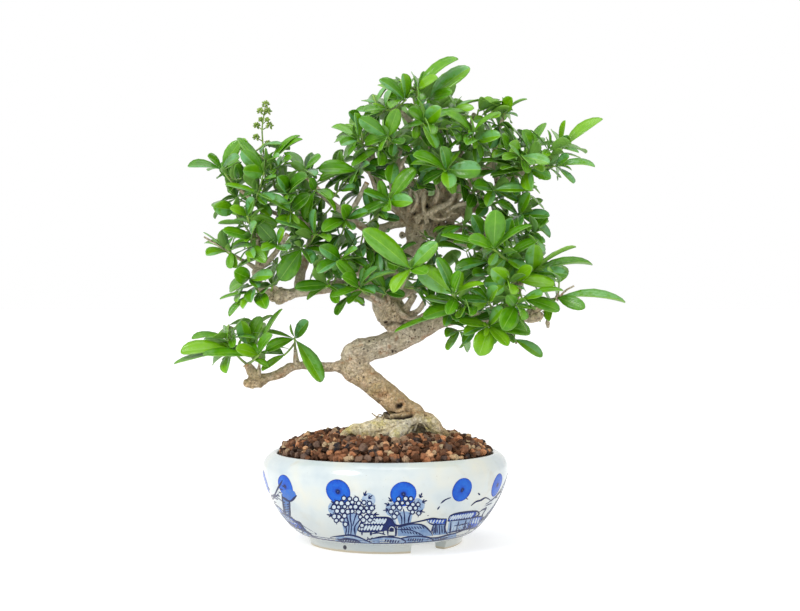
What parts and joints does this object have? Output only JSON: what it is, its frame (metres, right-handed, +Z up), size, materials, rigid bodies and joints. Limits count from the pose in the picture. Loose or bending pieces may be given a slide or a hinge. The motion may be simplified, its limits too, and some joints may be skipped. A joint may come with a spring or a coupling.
{
  "type": "privet bonsai",
  "caption": "Informal upright privet bonsai with an S-shaped trunk, leafy pads and one bud panicle, in a round footed bowl with blue-and-white painting.",
  "frame": {"origin": "on the table, under the middle of the whole tree's bounding box", "axes": "+Z up, -Y towards the front view, +X to the right in the front view"},
  "size_m": [0.3568, 0.2, 0.3901],
  "materials": {
    "porcelain": "glossy glaze with cobalt painting",
    "screen": "matte",
    "soil": "moist granular soil",
    "gravel": "dry baked-clay grit",
    "bark": "fine grey-tan bark",
    "leaf": "waxy leaf",
    "bud": "closed flower buds"
  },
  "bodies": {
    "root": {"pot": "porcelain", "drain_screen_1": "screen", "drain_screen_2": "screen", "soil": "soil", "gravel": "gravel", "trunk": "bark", "flower_panicle": "bud", "spray_back_crown": "leaf", "spray_back_crown_high": "leaf", "spray_back_heart": "leaf", "spray_back_left": "leaf", "spray_back_left_high": "leaf", "spray_back_left_low": "leaf", "spray_back_low": "leaf", "spray_back_right": "leaf", "spray_back_right_low": "leaf", "spray_crown_bright": "leaf", "spray_crown_edge": "leaf", "spray_crown_heart": "leaf", "spray_crown_left": "leaf", "spray_crown_right": "leaf", "spray_crown_star": "leaf", "spray_crown_top": "leaf", "spray_crown_top_left": "leaf", "spray_crown_twig": "leaf", "spray_far_left": "leaf", "spray_far_tip": "leaf", "spray_far_under": "leaf", "spray_front_centre": "leaf", "spray_front_left": "leaf", "spray_front_low": "leaf", "spray_front_right": "leaf", "spray_front_under": "leaf", "spray_left_bloom": "leaf", "spray_left_centre": "leaf", "spray_left_far": "leaf", "spray_left_heart": "leaf", "spray_left_high": "leaf", "spray_left_lower": "leaf", "spray_left_right": "leaf", "spray_left_side": "leaf", "spray_left_stub": "leaf", "spray_left_tip": "leaf", "spray_low_left_front": "leaf", "spray_low_left_inner": "leaf", "spray_low_left_outer": "leaf", "spray_mid_left": "leaf", "spray_mid_light": "leaf", "spray_mid_pair": "leaf", "spray_right_fan": "leaf", "spray_right_hang": "leaf", "spray_right_level": "leaf", "spray_right_mid": "leaf", "spray_right_mid_up": "leaf", "spray_right_olive": "leaf", "spray_right_pale": "leaf", "spray_right_round": "leaf", "spray_right_shoot": "leaf", "spray_right_tip": "leaf"}
  },
  "joints": []
}
